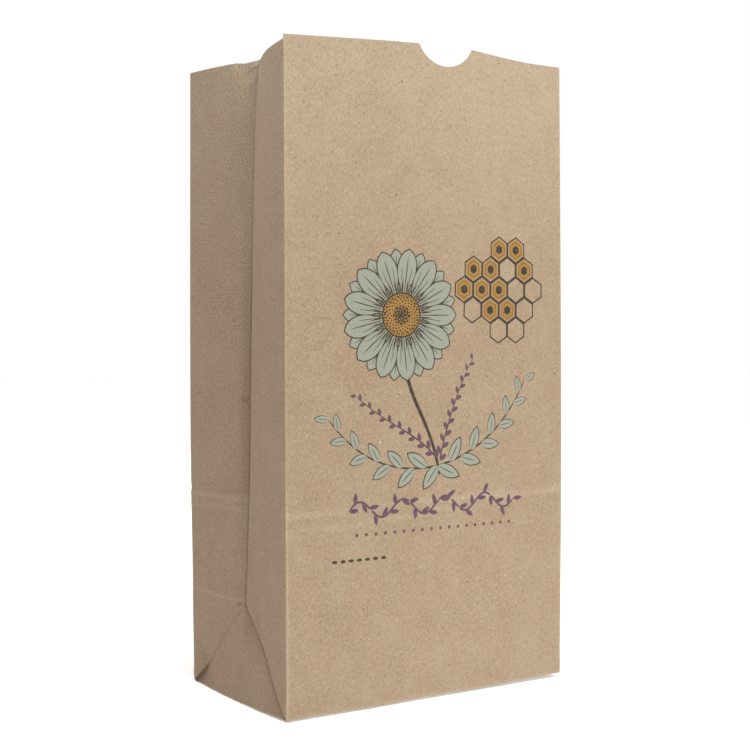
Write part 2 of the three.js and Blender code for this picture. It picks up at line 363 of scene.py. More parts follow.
# Painted shade: how dark the back half of each gusset is beside its crease, by height in
# millimetres.
PAINTED_CREASE_BAND = (
    *((54, 0.08), (81, 0.14), (110, 0.34), (135, 0.46)),
    *((190, 0.40), (244, 0.18), (298, 0.04), (350, 0.0)),
)

# Short marks on the left gusset's back half, in millimetres from its crease and of height: start,
# end, width and strength. Painted highlights are at the mouth; painted shade is there, under the
# dent's step, and at the pinch, and dark specks are beside the apex.
PAINTED_HIGHLIGHTS = (((2.4, 343.4), (2.4, 347), 1.2, 1.6), ((14.6, 343.6), (15.8, 347), 1.0, 1.1))
SPECKS_AND_PAINTED_SHADE = (
    ((1.6, 343.4), (6.4, 341.4), 0.9, 1.0),
    ((4.5, 52), (6.8, 51), 0.8, 1.0),
    ((2.5, 163.6), (8.0, 163.2), 1.0, 0.6),
)


def slit(along_fold):
    """1 where the back left leaf's diagonal fold stands open, near the bottom corner."""
    return smooth_step(0.0, 0.05, along_fold) * (1 - smooth_step(0.15, 0.28, along_fold))


def leaf_gap(panels, along_fold):
    """How proud a leaf's diagonal fold stands, by its place from the corner (0) to the apex (1)."""
    start = smooth_step(0, 0.06, along_fold)
    gap = 0.18 * MM * (start * (1 - smooth_step(0.85, 1, along_fold)))
    gap = gap + (panels == LEFT_BACK) * 1.3 * MM * slit(along_fold)
    front = start * (1 - smooth_step(0.75, 1, along_fold))
    return gap + np.isin(panels, (LEFT_FRONT, RIGHT_FRONT)) * 0.6 * MM * front


class Sheet:
    """The tube of paper as a grid: rows of heights z, and columns with a panel and a share."""

    def __init__(self, form):
        self.form, self.shape = form, form.shape
        self.panels, self.shares = sheet_columns(self.shape)
        rows = sheet_rows(form)
        self.z = mouth_heights(self.shape, self.panels, self.shares, rows)
        self.front_half = self.on(RIGHT_FRONT, LEFT_FRONT)
        self.back_half = self.on(RIGHT_BACK, LEFT_BACK)
        self.gusset = self.front_half | self.back_half
        # Metres from a gusset's middle crease, and from the seam's outer edge onto the lap.
        self.from_crease = np.where(self.gusset, (1 - self.shares) * form.fold, 1)
        seam_edge = self.shape.seam_centre - self.shape.seam_width / 2
        self.on_lap = (0.5 - self.shares) * self.shape.width - seam_edge
        # Below the fold line: the share of its height, and shares past the diagonal and along it.
        self.rise = self.z / form.fold
        self.beyond = self.shares - self.rise
        self.along_fold = (self.shares + self.rise) / 2
        # X and Y on the smooth panels, and each column's place across the flat paper.
        self.x, self.y = np.zeros_like(self.z), np.zeros_like(self.z)
        share = np.broadcast_to(self.shares, self.z.shape)
        for panel in PANELS:
            here = self.on(panel)
            spot = form.place(panel, share[:, here], self.z[:, here])
            self.x[:, here], self.y[:, here] = spot
        across, deep = self.x[len(rows) // 2], self.y[len(rows) // 2]
        steps = np.hypot(np.diff(across, append=across[:1]), np.diff(deep, append=deep[:1]))
        self.u = np.concatenate([[0], np.cumsum(steps)])

    def on(self, *panels):
        """Which columns are on any of these panels."""
        return np.isin(self.panels, panels)

    def pressed_lines(self):
        """Heights of the double line that the folded base has pressed into the panels."""
        slant = (self.shares - 0.5) * self.on(FRONT)
        line = self.shape.base_depth + 4 * MM * slant
        return line, line - 9 * MM * (0.5 - slant) - 1 * MM

    def relief(self):
        """How far each point stands out of its smooth panel: cockling, pressed lines, dents."""
        z, fold, crease = self.z, self.form.fold, self.from_crease
        arch = np.sin(np.pi * self.shares)
        across = np.broadcast_to(self.u[:-1], z.shape)
        cockling = sum(
            rise * MM * ripple(across, z, wave * MM, seed) for rise, wave, seed in COCKLING
        )
        relief = arch**0.7 * cockling
        # The folded base has pressed its edge into the panels that it lay against.
        line, lower = self.pressed_lines()
        fold_mark = bump(z, line, 1.6 * MM) - 0.7 * bump(z, line + 3 * MM, 3 * MM)
        relief += ~self.front_half * 0.30 * MM * (fold_mark + 0.6 * bump(z, lower, 1.5 * MM))
        # The seam: its outer cut edge is a step, its other side a gentle rise.
        lap = 1 - smooth_step(0.8, 1.25, self.on_lap / self.shape.seam_width)
        relief += self.on(BACK) * ((self.on_lap > 0) * lap) * self.shape.paper
        relief += self.base_relief()
        # The valley of each gusset's crease is pressed in; the back half turns in more sharply.
        groove = 0.35 * MM * bump(crease, 0, 0.9 * MM)
        groove = groove + 0.5 * MM * self.back_half * bump(crease, 0, 5 * MM)
        upper = self.gusset * smooth_step(fold - 1 * MM, fold + 3 * MM, z)
        relief -= upper * groove * (1 - smooth_step(0.86, 0.96, z / self.shape.height))
        # A line at the height of the fold stands out on the back halves.
        relief += self.back_half * 0.3 * MM * bump(z, fold, 1.3 * MM) * arch**0.5
        # A pinch on the left gusset's crease, and the dent beside it at the mouth.
        pinch = bump(z, 163 * MM, 3.5 * MM) * bump(crease, 2.5 * MM, 2.5 * MM)
        relief += self.on(LEFT_BACK, LEFT_FRONT) * 0.5 * MM * pinch
        return relief + self.on(LEFT_BACK) * self.mouth_dent()

    def mouth_dent(self):
        """The crumpled corner where the left gusset's back half meets the crease at the mouth."""
        reach, down, depth = MOUTH_DENT
        share = self.from_crease / reach
        beside = np.where(share < 1, share, 1 - smooth_step(1, 1.28, share))
        above = self.z - (self.shape.height - self.shape.lip - down)
        pressed = -depth * beside * np.clip(above / down, 0, 1) ** 0.8
        # Its lower edge is a short sharp fold that runs down and away from the crease.
        line = above + 0.35 * self.from_crease
        step = np.tanh(line / (0.6 * MM)) * bump(line, 0, 4 * MM)
        step *= bump(self.from_crease, 2 * MM, 4 * MM)
        return pressed + 0.5 * MM * step

    def base_relief(self):
        """The gussets' lower ends: each side leaf stands a little proud of the base's triangle."""
        rise, beyond, past = self.rise, self.beyond, self.beyond > SAME
        gap = leaf_gap(self.panels, self.along_fold)
        leaf = gap * bump(beyond, 0, 0.16) * smooth_step(-0.06, 0.10, self.shares) * ~past
        triangle = -0.5 * gap * bump(beyond, 0.04, 0.16) * past
        middle = bump(self.shares, 0.84 - 0.3 * (1 - rise), 0.07) * self.on(LEFT_FRONT)
        crinkle = 0.35 * MM * (middle * (beyond > 0)) * smooth_step(0, 0.25, 1 - rise)
        return (self.gusset & (rise <= 1)) * (leaf + triangle + crinkle)

    def diagonal_bow(self):
        """The left gusset's diagonal folds aren't quite straight: both bow towards the front."""
        rise, beyond = self.rise, self.beyond
        front = 5.3 * MM * bump(beyond, 0, 0.26) * bump(rise, 0.62, 0.26) * self.on(LEFT_FRONT)
        back = 3 * MM * bump(beyond, 0, 0.20) * bump(rise, 0.22, 0.16) * self.on(LEFT_BACK)
        edges = smooth_step(0, 0.15, rise) * smooth_step(0, 0.15, self.shares)
        edges *= 1 - smooth_step(0.85, 1, rise)
        return (front + back) * edges * (1 - smooth_step(0.85, 1, self.shares))

    def tuck_triangles(self, points):
        """Slides the first line of nodes inside each diagonal under the leaf, to make a step."""
        grid = points.reshape(*self.z.shape, 3)
        below = fold_shares()
        for row in range(1, len(below) - 1):
            for side in (RIGHT_FRONT, RIGHT_BACK, LEFT_BACK, LEFT_FRONT):
                edge, inner = (
                    np.flatnonzero(self.on(side) & np.isclose(self.shares, share))
                    for share in below[row : row + 2]
                )
                if len(inner) == 0:  # the crease belongs to the gusset's other half
                    continue
                amount = 0.85 * np.clip(leaf_gap(side, below[row]) / (0.3 * MM), 0, 1)
                moved = grid[row, inner[0]] - grid[row, edge[0]]
                moved[1] *= 1 - amount
                grid[row, inner[0]] = grid[row, edge[0]] + moved

    def streaks(self, rows):
        """The sum of short lines: each has a start, an end and a width in mm, and a strength."""
        total = 0
        for start, end, width, strength in rows:
            start, run = np.array(start) * MM, (np.array(end) - start) * MM
            x, y = self.from_crease - start[0], self.z - start[1]
            share = np.clip((x * run[0] + y * run[1]) / (run @ run), 0, 1)
            away = np.hypot(x - share * run[0], y - share * run[1])
            total = total + strength * bump(away, 0, width * MM)
        return total

    def fold_wear(self):
        """1 on a fold's edge and 0 away from it: rubbed wear that is partly painted highlight, and
        painted highlights at the mouth, along the pressed lines, the fold line and the seam's edge.
        """
        z, fold, shares = self.z, self.form.fold, self.shares
        from_edge = np.minimum(shares, 1 - shares) * self.shape.width
        from_fold = np.where(self.gusset, shares * fold, from_edge)
        wear_and_highlight = bump(from_fold, 0, 0.9 * MM) * (1 - 0.55 * smooth_step(60 * MM, 160 * MM, z))
        wear_and_highlight = np.maximum(wear_and_highlight, bump(z, 0, 1.0 * MM))
        wear_and_highlight = np.maximum(wear_and_highlight, (z > fold) * 0.3 * bump(self.from_crease, 0, 0.8 * MM))
        # The back half is a little paler beside the upper crease, and has a painted highlight along
        # the fold line.
        beside = smooth_step(190 * MM, 270 * MM, z) * bump(self.from_crease, 3.5 * MM, 6 * MM)
        wear_and_highlight += self.back_half * (0.13 * beside + 0.45 * bump(z, fold, 0.8 * MM))
        # Painted highlights in a double line across the wide panels and back halves, along the
        # ridges that the base's folded edge pressed into them.
        line, lower = self.pressed_lines()
        double = bump(z, line, 1.2 * MM) + 0.8 * bump(z, lower, 1.1 * MM)
        wear_and_highlight += 0.55 * double * ~self.front_half
        # A pale line along the flat bag's fold across the back panel, partly worn and partly
        # painted highlight, and a painted highlight on the seam's cut edge.
        seam = 0.8 * (self.on_lap > 0) * bump(self.on_lap, 0, 0.4 * MM)
        wear_and_highlight += self.on(BACK) * (0.6 * bump(z, fold, 0.8 * MM) + seam)
        # Painted highlights on the facets of the crumpled corner at the mouth.
        wear_and_highlight += self.on(LEFT_BACK) * self.streaks(PAINTED_HIGHLIGHTS)
        return np.clip(wear_and_highlight, 0, 1.6)

    def loose_fibres(self):
        """1 where the gussets' paper is roughest: the back halves near the mouth."""
        rough = np.where(self.back_half, 1.0, 0.9)
        return self.gusset * rough * (0.5 + 0.5 * smooth_step(110 * MM, 230 * MM, self.z))

    def crease_shade(self):
        """Painted shade: how dark the valleys are, 1 in the bottom of a crease and 0 away from it.
        """
        z, crease, rise, beyond = self.z, self.from_crease, self.rise, self.beyond
        left_back, past = self.on(LEFT_BACK), self.beyond > SAME
        # Painted shade: a broken dark line down each crease above the fold line, and a band beside
        # it on the back halves.
        broken = 0.8 + 0.5 * ripple(z, 0 * z, 4 * MM, 6.2)
        high = smooth_step(200 * MM, 275 * MM, z)
        line = (1.1 - 0.80 * high) * broken * bump(crease, 0, 0.9 * MM)
        band = along(np.array(PAINTED_CREASE_BAND) * (MM, 1), z)
        band = self.back_half * band * (1 - smooth_step(3 * MM, 11 * MM, crease))
        shade = self.gusset * (z >= self.form.fold) * (line + band)
        # Inside each diagonal fold the triangle gets painted shade from the leaf, darkest in the
        # tuck.
        cell = 1 / FOLD_CELLS
        inside = self.gusset * (rise < 1) * (beyond > -SAME)
        tucked = past & (beyond < 1.2 * cell)
        away = np.maximum(beyond - cell, 0)
        after = np.exp(-away / (0.045 + 0.075 * self.along_fold)) * (beyond >= 1.2 * cell)
        open_slit = slit(self.along_fold)
        front = tucked + (0.6 - 0.3 * self.along_fold) * after
        back = tucked * (0.34 + 0.66 * open_slit) + 0.10 * after
        shade += inside * (self.front_half * front + self.back_half * back)
        shade += 0.9 * inside * left_back * open_slit * np.exp(-away / 0.10) * past
        # Painted shade beside the apex, where the left gusset's front half turns away, down to its
        # diagonal's bow.
        shade += inside * self.on(LEFT_FRONT) * 0.17 * smooth_step(0.45, 0.75, rise) * past
        # A thin painted shadow on the panel beside the seam's outer edge.
        shade += self.on(BACK) * 0.7 * (self.on_lap < 0) * bump(self.on_lap, 0, 0.4 * MM)
        # Painted shade where the left gusset is crumpled, with dark specks beside the apex, and
        # painted shade of a soft dent at the slit's end.
        painted_dent_shade = 0.30 * bump(self.shares, 0.20, 0.07) * bump(rise, 0.29, 0.10)
        shade += left_back * (0.8 * self.streaks(SPECKS_AND_PAINTED_SHADE) + painted_dent_shade)
        return np.clip(shade, 0, 1)


def front_lift(shape, x, y, z):
    """The base is not quite flat: its front edge is off the table, most at the right."""
    share = np.clip(x / shape.width + 0.5, 0, 1)
    edge = (0.35 + 0.65 * share) * shape.corner_lift + 0.25 * MM * np.sin(5 * np.pi * share)
    to_front = smooth_step(-0.1, 1.0, -y / (shape.base_depth / 2))
    return np.maximum(edge, 0) * to_front * (1 - smooth_step(0, 60 * MM, z))


FOOT_RADIUS = 0.4 * MM  # of the fold between wall and base


def settle(shape, points):
    """Rounds the fold between wall and base, and lets the bottom stand as it does on the table."""
    x, y, z = points.T
    half, deep = shape.width / 2, shape.base_depth / 2
    below = np.clip(FOOT_RADIUS - z, 0, FOOT_RADIUS)
    into = FOOT_RADIUS - np.sqrt(np.maximum(FOOT_RADIUS**2 - below**2, 0))
    on_end = np.abs(x) / half > np.abs(y) / deep
    x = x - np.sign(x) * into * on_end
    y = y - np.sign(y) * into * ~on_end
    # The back left corner is pushed out a little.
    low = 1 - smooth_step(15 * MM, 90 * MM, z)
    corner = smooth_step(0.55, 1, -x / half) * smooth_step(0.5, 1, y / deep)
    x = x - 0.3 * MM * low * corner
    y = y + 1.3 * MM * low * corner
    return np.stack([x, y, z + front_lift(shape, x, y, z)], axis=1)


def add_attribute(mesh, name, values):
    """Stores a number for each vertex, which the materials read by name."""
    mesh.attributes.new(name, "FLOAT", "POINT").data.foreach_set("value", np.ravel(values))


def sheet_mesh(form):
    """The tube of paper as one open sheet, with its UV map in metres of flat paper."""
    sheet = Sheet(form)
    panels, u, z = sheet.panels, sheet.u, sheet.z.ravel()
    rows, count = sheet.z.shape
    turns = [sheet.on(RIGHT_FRONT, LEFT_BACK), sheet.on(RIGHT_BACK, LEFT_FRONT)]
    faces = grid_faces(rows, count, np.select(turns, [1, -1]))
    # Only the front panel has cells above the short panels' edge.
    last_row = (rows - 2) * count
    kept = [f for f in faces if min(f) < last_row or panels[min(f) - last_row] == FRONT]

    mesh = bpy.data.meshes.new("bag_sheet")
    points = np.stack([sheet.x.ravel(), sheet.y.ravel(), z], axis=1)
    mesh.from_pydata(points.tolist(), [], kept)
    mesh.update()
    normals = np.zeros(points.size)
    mesh.vertices.foreach_get("normal", normals)
    points += normals.reshape(-1, 3) * sheet.relief().reshape(-1, 1)
    sheet.tuck_triangles(points)
    points[:, 1] -= sheet.diagonal_bow().ravel()
    mesh.vertices.foreach_set("co", settle(form.shape, points).ravel())

    uv = mesh.uv_layers.new(name="sheet").data
    for polygon in mesh.polygons:
        columns = [v % count for v in polygon.vertices]
        wraps = 0 in columns and count - 1 in columns
        for k, v, column in zip(polygon.loop_indices, polygon.vertices, columns):
            uv[k].uv = (u[-1] if wraps and column == 0 else u[column], z[v])
    for make in (sheet.fold_wear, sheet.crease_shade, sheet.loose_fibres):
        add_attribute(mesh, make.__name__, make())
    mesh.validate()
    with edited(mesh, mesh) as work:
        loose = [v for v in work.verts if not v.link_faces]
        bmesh.ops.delete(work, geom=loose, context="VERTS")
    return mesh


# ---- Base flaps ----
FLAP_MARGIN = 0.35 * MM  # the flaps' folds stand in from the walls' outside by this
END_CELLS = (12, 25)  # rows and columns of an end flap's points
WIDE_CELLS = (14, 36)  # and of a front or back flap's
FLAP_THICKNESS = 0.95  # in shares of the paper's, so that the flaps stay apart


def plate(low, thickness):
    """A closed thin plate over a grid of points: its vertices and faces."""
    rows, columns = low.shape[:2]
    count = rows * columns
    index = np.arange(count).reshape(rows, columns)
    a, b, d, e = index[:-1, :-1], index[:-1, 1:], index[1:, :-1], index[1:, 1:]
    under, over = np.stack([a, d, e, b], axis=2), np.stack([a, b, e, d], axis=2) + count
    faces = np.stack([under, over], axis=2).reshape(-1, 4)
    rim = np.concatenate([index[0], index[1:, -1], index[-1, -2::-1], index[-2:0:-1, 0]])
    after = np.roll(rim, -1)
    sides = np.stack([rim, after, after + count, rim + count], axis=1)
    points = low.reshape(-1, 3)
    return np.concatenate([points, points + (0, 0, thickness)]), np.concatenate([faces, sides])


def flap_grid(edge_a, edge_b, tip_a, tip_b, cells):
    """Points between a flap's fold edge (a to b) and its free edge (tip a to tip b)."""
    rows, columns = cells
    s, t = np.meshgrid(np.linspace(0, 1, columns), np.linspace(0, 1, rows))
    s, t = s[..., None], t[..., None]
    edge = np.array(edge_a) * (1 - s) + np.array(edge_b) * s
    tip = np.array(tip_a) * (1 - s) + np.array(tip_b) * s
    return edge * (1 - t) + tip * t


def base_mesh(form):
    """End flaps, front flap and outer back flap as thin plates in one mesh."""
    shape, sheet, over = form.shape, form.shape.paper, form.shape.flap_overlap
    half, deep = shape.width / 2 - FLAP_MARGIN, shape.base_depth / 2 - FLAP_MARGIN
    tip = half - deep - over
    flaps = []
    corners = ((half, -deep), (half, deep), (tip, -deep), (tip, deep))
    for side in (-1, 1):
        end = side * flap_grid(*corners, END_CELLS)
        out = np.cos(np.pi / 2 * np.clip(end[..., 1] / deep, -1, 1))
        to_tip = np.linspace(1, 0, END_CELLS[0])[:, None]
        end[..., 0] += side * shape.base_bulge * out * to_tip
        flaps.append((end, 2 * sheet))
    corners = ((-half, -deep), (half, -deep), (-tip, over), (tip, over))
    for side, level in ((1, sheet), (-1, 0)):
        flaps.append((side * flap_grid(*corners, WIDE_CELLS)[:, ::-1], level))
    vertices, faces = np.zeros((0, 3)), []
    for grid, level in flaps:
        x, y = grid[..., 0] + form.sway[0][1], grid[..., 1]
        z = level + front_lift(shape, x, y, np.zeros_like(x))
        points, new_faces = plate(np.stack([x, y, z], axis=2), sheet * FLAP_THICKNESS)
        faces += (new_faces + len(vertices)).tolist()
        vertices = np.concatenate([vertices, points])
    mesh = bpy.data.meshes.new("bag_base")
    mesh.from_pydata(vertices.tolist(), [], faces)
    with edited(mesh, mesh) as work:
        bmesh.ops.recalc_face_normals(work, faces=work.faces)
    lay_uv(mesh, "xy", (0, 0.1))
    for name in ("fold_wear", "crease_shade", "loose_fibres"):
        add_attribute(mesh, name, np.zeros(len(mesh.vertices)))
    return mesh


# ---- Objects ----
@contextmanager
def edited(target, *sources):
    """An editable copy of some meshes together, written to the target at the end."""
    work = bmesh.new()
    for source in sources:
        work.from_mesh(source)
    yield work
    work.to_mesh(target)
    work.free()


def lay_uv(mesh, axes, shift):
    """A UV map in metres from two of each vertex's coordinates, moved by shift."""
    uv = mesh.uv_layers.new(name="sheet").data
    for loop in mesh.loops:
        co = mesh.vertices[loop.vertex_index].co
        uv[loop.index].uv = [getattr(co, axis) + move for axis, move in zip(axes, shift)]


def link_object(name, data):
    added = bpy.data.objects.new(name, data)
    bpy.context.scene.collection.objects.link(added)
    return added


def add_piece(name, mesh, material):
    mesh.materials.clear()
    mesh.materials.append(material)
    return link_object(name, mesh)


def make_plain(piece):
    """Turns a piece with modifiers into a plain mesh."""
    graph = bpy.context.evaluated_depsgraph_get()
    plain = bpy.data.meshes.new_from_object(piece.evaluated_get(graph))
    piece.modifiers.clear()
    piece.data = plain


def thicken(piece, thickness):
    """Gives a sheet its thickness, inwards from its face."""
    solidify = piece.modifiers.new("Thickness", "SOLIDIFY")
    solidify.thickness = thickness
    solidify.offset = -1
    make_plain(piece)


def shade(mesh, sharp_degrees):
    mesh.polygons.foreach_set("use_smooth", [True] * len(mesh.polygons))
    mesh.set_sharp_from_angle(angle=math.radians(sharp_degrees))


# ---- Node trees ----
class Graph:
    """Short calls for building a node tree."""

    def __init__(self, tree):
        self.tree = tree

    def add(self, kind, **values):
        node = self.tree.nodes.new(kind)
        for key, value in values.items():
            setattr(node, key, value)
        return node

    def put(self, value, socket):
        """Links a value to a socket, or sets the socket to a constant."""
        value = getattr(value, "socket", value)
        if isinstance(value, bpy.types.NodeSocket):
            self.tree.links.new(value, socket)
        elif socket.type == "RGBA":
            socket.default_value = (*value, 1)
        else:
            socket.default_value = value

    def fill(self, node, inputs):
        """Puts values into a node's inputs, and gives its outputs."""
        for name, value in inputs.items():
            self.put(value, node.inputs[name])
        return node.outputs

    def node(self, kind, inputs, output=0, **values):
        """Adds a node with its inputs filled, and gives one of its outputs."""
        return self.fill(self.add(kind, **values), inputs)[output]

    def number(self, kind, inputs, output=0, **values):
        return Field(self, self.node(kind, inputs, output, **values))

    def maths(self, operation, *terms):
        return self.number("ShaderNodeMath", dict(enumerate(terms)), operation=operation)

    def split(self, vector):
        parts = self.fill(self.add("ShaderNodeSeparateXYZ"), {0: vector})
        return [Field(self, socket) for socket in parts]


def sign(operation, swapped=False):
    """What a Field does at one arithmetic sign: it adds a Math node."""

    def act(self, other):
        terms = (other, self) if swapped else (self, other)
        return self.graph.maths(operation, *terms)

    return act


class Field:
    """A number in a node tree that can be added, multiplied and raised like any other."""

    def __init__(self, graph, socket):
        self.graph, self.socket = graph, socket

    __add__, __sub__, __rsub__ = sign("ADD"), sign("SUBTRACT"), sign("SUBTRACT", swapped=True)
    __mul__, __truediv__, __pow__ = sign("MULTIPLY"), sign("DIVIDE"), sign("POWER")
    __mod__, __lt__ = sign("FLOORED_MODULO"), sign("LESS_THAN")


# ---- Materials ----
class Nodes(Graph):
    """Short calls for building one material's node tree."""

    def __init__(self, name):
        self.material = bpy.data.materials.new(name)
        self.material.use_nodes = True
        super().__init__(self.material.node_tree)
        self.tree.nodes.clear()

    def attribute(self, name):
        return self.node("ShaderNodeAttribute", {}, "Fac", attribute_name=name)

    def stretch(self, vector, scale, turn=0.0):
        inputs = {"Vector": vector, "Scale": scale, "Rotation": (0, 0, turn)}
        return self.node("ShaderNodeMapping", inputs)

    def noise(self, vector, scale, detail, roughness, distortion=0.0):
        inputs = {"Vector": vector, "Scale": scale, "Detail": detail}
        inputs |= {"Roughness": roughness, "Distortion": distortion}
        return self.number("ShaderNodeTexNoise", inputs, "Fac")

    def remap(self, value, low, high, to_low=0.0, to_high=1.0):
        inputs = {"Value": value, "From Min": low, "From Max": high}
        return self.number("ShaderNodeMapRange", inputs | {"To Min": to_low, "To Max": to_high})

    def mix(self, factor, a, b):
        node = self.add("ShaderNodeMix", data_type="RGBA")
        self.put(factor, node.inputs["Factor"])
        for value, socket in zip((a, b), (s for s in node.inputs if s.type == "RGBA")):
            self.put(value, socket)
        return next(s for s in node.outputs if s.type == "RGBA")

    def spots(self, vector, scale, size, soft, share):
        """Scattered small spots: 1 inside one. Share of the cells that hold a spot."""
        cells = self.fill(
            self.add("ShaderNodeTexVoronoi", feature="F1"), {"Scale": scale, "Vector": vector}
        )
        picked = self.fill(self.add("ShaderNodeSeparateColor"), {"Color": cells["Color"]})
        there = Field(self, picked["Red"]) < share
        return there * self.remap(Field(self, picked["Green"]) * size - cells["Distance"], 0, soft)

    def surface(self, values):
        """Ends the material in a Principled shader with these inputs."""
        shader = self.node("ShaderNodeBsdfPrincipled", values)
        self.put(shader, self.add("ShaderNodeOutputMaterial").inputs["Surface"])
        return self.material


class Paper(Nodes):
    """A material of the bag's paper: its tone with painted light towards the mouth and the foot,
    and the fibres behind its tone and bump.
    """

    def __init__(self, name, look):
        super().__init__(name)
        uv = self.node("ShaderNodeUVMap", {}, uv_map="sheet")
        fine = self.noise(uv, 1800, 3, 0.75)
        upright = self.noise(self.stretch(uv, (1, 0.35, 1)), 1700, 2, 0.6, 0.4)
        slanted = self.noise(self.stretch(uv, (1, 0.4, 1), 1.1), 1400, 2, 0.6, 0.5)
        self.grain = grain = fine * 0.5 + upright * 0.25 + slanted * 0.25
        self.mottle = mottle = self.noise(uv, 420, 3, 0.5)
        self.look = look

        height = self.split(uv)[1]
        # Painted light: the paper is laid paler towards the mouth and just above the foot; the
        # grain is also stronger towards the mouth.
        painted_mouth_light = self.remap(height, 0.215, 0.34, 0.0, 0.45)
        painted_foot_light = self.remap(height, 0.0, 0.05, 0.13, 0.0)
        strength = painted_mouth_light * 0.45 + 0.72
        patch = self.noise(self.stretch(uv, (1, 0.6, 1)), 110, 2, 0.5)
        clouds = self.remap(self.noise(uv, 34, 3, 0.5), 0.3, 0.7, 0.0, 0.20)
        clouds = clouds + self.remap(patch, 0.35, 0.65, 0.02, 0.17)
        patches = self.remap(self.noise(uv, 55, 2, 0.5), 0.42, 0.6, 0, 0.45)
        rough = self.noise(self.stretch(uv, (0.6, 1, 1)), 1500, 2, 0.7)
        loose = self.attribute("loose_fibres")
        flecks = self.spots(self.stretch(uv, (1, 0.35, 1), 0.6), 330, 0.10, 0.04, 0.25)
        # Each layer is laid over the ones before it: how much of it shows, and its colour.
        self.tone = look.kraft
        for amount, colour_over in (
            (patches, look.olive),
            (painted_mouth_light + painted_foot_light + clouds, look.pale),
            (self.remap(grain, 0.51, 0.64) * strength, look.straw),
            (self.remap(grain, 0.49, 0.36) * strength, look.dark),
            (self.remap(mottle, 0.42, 0.28, 0, 0.3), look.dark),
            (self.remap(mottle, 0.58, 0.74, 0, 0.35), look.straw),
            (self.remap(rough, 0.52, 0.64, 0, 0.58) * loose, look.straw),
            (self.remap(rough, 0.48, 0.36, 0, 0.58) * loose, look.dark),
            (self.spots(uv, 240, 0.13, 0.05, 0.3), look.speck),
            (flecks, look.straw),
            (self.spots(uv, 90, 0.07, 0.015, 0.035), look.chip),
        ):
            self.tone = self.mix(amount, self.tone, colour_over)

    def finish(self, tone, roughness, gloss, strength, depth):
        """Ends the material: roughness from the grain, and a bump from the fibres."""
        fibres = {"Height": self.grain * 0.7 + self.mottle * 0.6}
        fibres |= {"Strength": strength, "Distance": depth}
        return self.surface(
            {
                "Base Color": tone,
                "Roughness": self.remap(self.grain, 0.3, 0.7, *roughness),
                "Specular IOR Level": gloss,
                "Normal": self.node("ShaderNodeBump", fibres),
            }
        )


def kraft_material(name, look):
    """Bare kraft paper, pale where its folds are rubbed and where highlights are painted, and with
    painted shade down in its creases.
    """
    paper = Paper(name, look)
    rubbed_and_highlit = paper.remap(paper.grain, 0.35, 0.6, 0.1, 0.6) * paper.attribute("fold_wear")
    painted_shade = paper.remap(paper.grain, 0.35, 0.65, 0.9, 0.5) * paper.attribute("crease_shade")
    tone = paper.mix(painted_shade, paper.mix(rubbed_and_highlit, paper.tone, look.fold), look.crease)
    return paper.finish(tone, (0.94, 0.78), 0.28, 0.22, 0.12 * MM)


def ink_material(name, ink, look):
    """Ink that has soaked into the paper: the fibres show through a little."""
    paper = Paper(name, look)
    cover = paper.remap(paper.grain * 0.6 + paper.mottle * 0.4, 0.36, 0.62, 0.99, 0.84)
    return paper.finish(paper.mix(cover, paper.tone, ink), (0.85, 0.7), 0.25, 0.2, 0.1 * MM)


def floor_material(tint, glow):
    """A white floor with a faint glow, which keeps the shadows soft."""
    values = {"Base Color": tint, "Roughness": 0.95, "Specular IOR Level": 0.0}
    return Nodes("pale_floor").surface(
        values | {"Emission Color": WHITE, "Emission Strength": glow}
    )


def material(name, make, *settings):
    """A material by name, made the first time."""
    return bpy.data.materials.get(name) or make(name, *settings)


def kraft(scene):
    """The paper's material, which the tube and the base share."""
    return material("bag_kraft", kraft_material, scene.bag_paper)


# ---- Print: shapes drawn flat, then laid on the front panel ----
WELD = 0.01 * MM  # points closer than this are merged
RAY_FROM, RAY_LENGTH = -0.3, 1.0  # the rays that find the panel start at this Y
RIBBON_STEP = 1.5 * MM
SOCKETS = {
    int: "NodeSocketInt",
    float: "NodeSocketFloat",
    tuple: "NodeSocketVector",
    bpy.types.Mesh: "NodeSocketGeometry",
    bpy.types.Object: "NodeSocketObject",
    bpy.types.Material: "NodeSocketMaterial",
}
BLADE_ROWS = 5  # points across a blade
COMB_GRID = (25, 4)  # points round a comb cell and from its hole to its edge
BLADE = {"Length": 0.01, "Width": 0.004, "Fullness": 0.8, "Belly": 1.0, "Bend": 0.0, "Cells": 9}
EVERY_TREE = {"Centre": (0.0, 0.0, 0.0), "Lift": 0.0}


